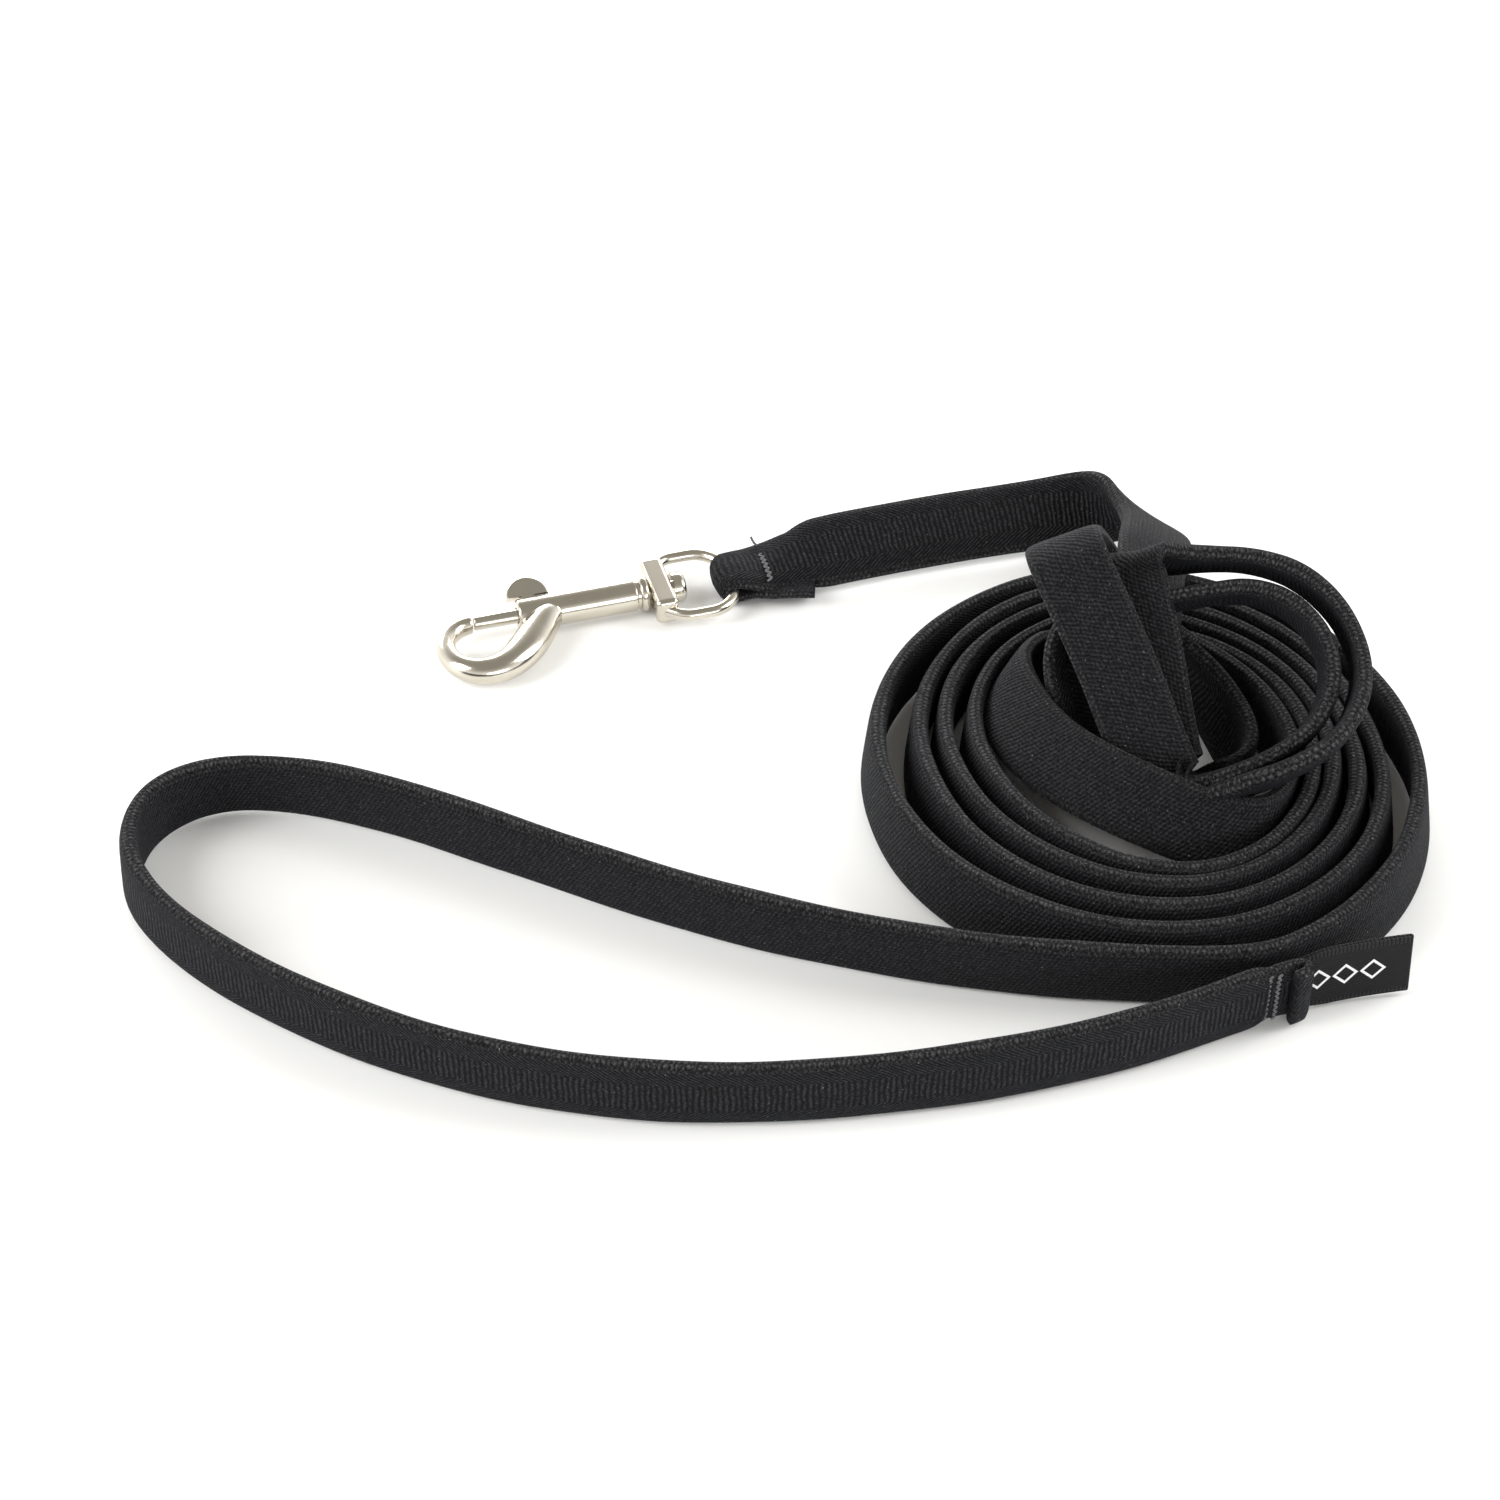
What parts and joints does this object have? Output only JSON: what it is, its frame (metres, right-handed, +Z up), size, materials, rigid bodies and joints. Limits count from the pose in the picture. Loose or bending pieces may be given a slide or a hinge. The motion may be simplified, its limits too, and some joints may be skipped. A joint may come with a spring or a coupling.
{
  "type": "training leash",
  "caption": "Black woven training leash, loosely coiled, with a plated bolt snap and swivel eye at one end and a sewn hand loop with a small woven tab at the other.",
  "frame": {"origin": "on the floor under the middle of the bolt snap's box, without the strap", "axes": "+X along the snap from hook to swivel eye, +Z up, strap and coil towards +X and -Y"},
  "size_m": [0.2407, 0.1648, 0.0463],
  "materials": {
    "die_cast": "nickel-plated zinc die-casting, glossy",
    "plated_steel": "nickel-plated turned steel",
    "spring_wire": "drawn spring wire",
    "webbing": "black woven strap, ribbed on one side and twilled on the other",
    "tack_thread": "black bonded thread",
    "woven_tape": "black satin label tape"
  },
  "bodies": {
    "root": {"snap_loop": "webbing", "lead_strap": "webbing", "top_coil": "webbing", "main_coil": "webbing", "outer_turn": "webbing", "hand_loop": "webbing", "snap_bar_tack": "tack_thread", "hand_bar_tack": "tack_thread", "woven_label": "woven_tape"},
    "eye": {"swivel_eye": "die_cast"},
    "snap": {"hook_body": "die_cast", "swivel_stud": "plated_steel", "return_spring": "spring_wire"},
    "bolt": {"bolt": "plated_steel", "thumb_knob": "plated_steel"}
  },
  "joints": [
    {"name": "eye_hinge", "type": "hinge", "parent": "root", "child": "eye", "pos_m": [0.0303, 0.0036, 0.00375], "axis": [0, 1, 0], "range_deg": [-90, 90]},
    {"name": "snap_swivel", "type": "hinge", "parent": "eye", "child": "snap", "pos_m": [0.0158, 0.0036, 0.00375], "axis": [1, 0, 0], "continuous": true},
    {"name": "bolt_slide", "type": "slide", "parent": "snap", "child": "bolt", "axis": [1, 0, 0], "range_m": [0, 0.009], "stiffness_N_per_m": 250, "springref_m": -0.004, "deforming": ["return_spring"]}
  ]
}
